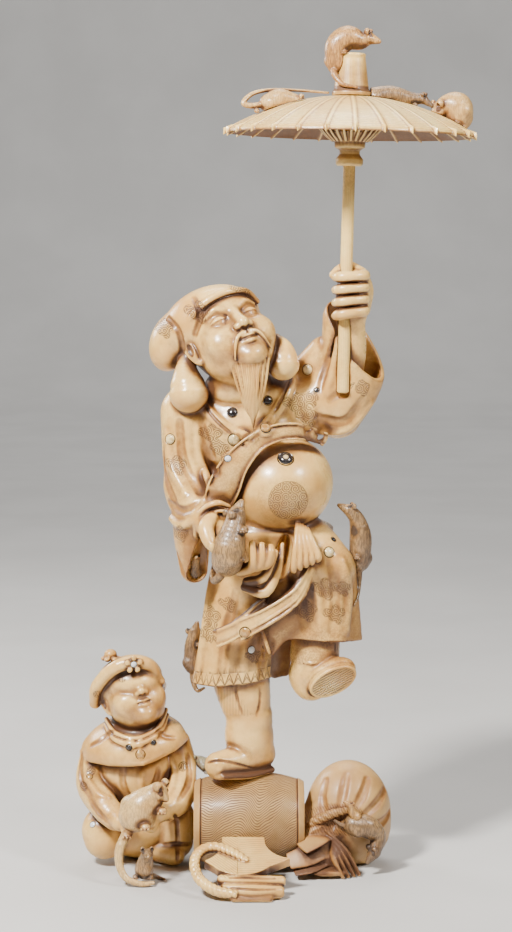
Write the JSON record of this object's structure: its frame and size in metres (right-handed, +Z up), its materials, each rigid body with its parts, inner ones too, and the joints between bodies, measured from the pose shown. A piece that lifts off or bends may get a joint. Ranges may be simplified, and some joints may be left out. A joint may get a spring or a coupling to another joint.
{
  "type": "okimono figure group",
  "caption": "Carved ivory okimono: a stout lucky god in a soft cap dances on a keg under a parasol, with a kneeling boy, a sack, treasures and rats.",
  "frame": {"origin": "middle of the flat under the keg, on the surface that the group stands on", "axes": "+Z up, the front faces -Y, and +X is to the viewer's right"},
  "size_m": [0.2186, 0.1354, 0.4614],
  "materials": {
    "ivory": "polished, with brown stain in the cuts",
    "stained_ivory": "stained grey-brown, satin",
    "shell": "polished pearl",
    "horn": "polished black",
    "amber": "polished amber"
  },
  "bodies": {
    "root": {"boy": "ivory", "dancer": "ivory", "dark_rat_on_sack": "stained_ivory", "inlay_arm_shell": "shell", "inlay_belly_horn": "horn", "inlay_cap_pearl": "shell", "inlay_chest_amber": "amber", "inlay_chest_horn": "horn", "inlay_chest_shell": "shell", "inlay_collar_amber": "amber", "inlay_collar_horn": "horn", "inlay_collar_left_horn": "horn", "inlay_collar_right_horn": "horn", "inlay_hip_horn": "horn", "inlay_knee_pearl": "shell", "inlay_knee_shell": "shell", "inlay_shoulder_horn": "horn", "inlay_shoulder_shell": "shell", "inlay_skirt_amber": "amber", "inlay_skirt_pearl": "shell", "inlay_sleeve_amber": "amber", "inlay_sleeve_pearl": "shell", "keg": "ivory", "parasol_canopy": "ivory", "parasol_ferrule": "ivory", "parasol_runner": "ivory", "parasol_shaft": "ivory", "rat_before_boy": "stained_ivory", "rat_behind_keg": "stained_ivory", "rat_held_by_boy": "ivory", "rat_in_hand": "stained_ivory", "rat_in_sleeve": "stained_ivory", "rat_on_back": "stained_ivory", "rat_on_canopy_edge": "ivory", "rat_on_canopy_left": "ivory", "rat_on_canopy_right": "stained_ivory", "rat_on_ferrule": "stained_ivory", "rat_on_hip": "stained_ivory", "rat_on_sack": "amber", "sack": "ivory", "treasures": "ivory"}
  },
  "joints": []
}
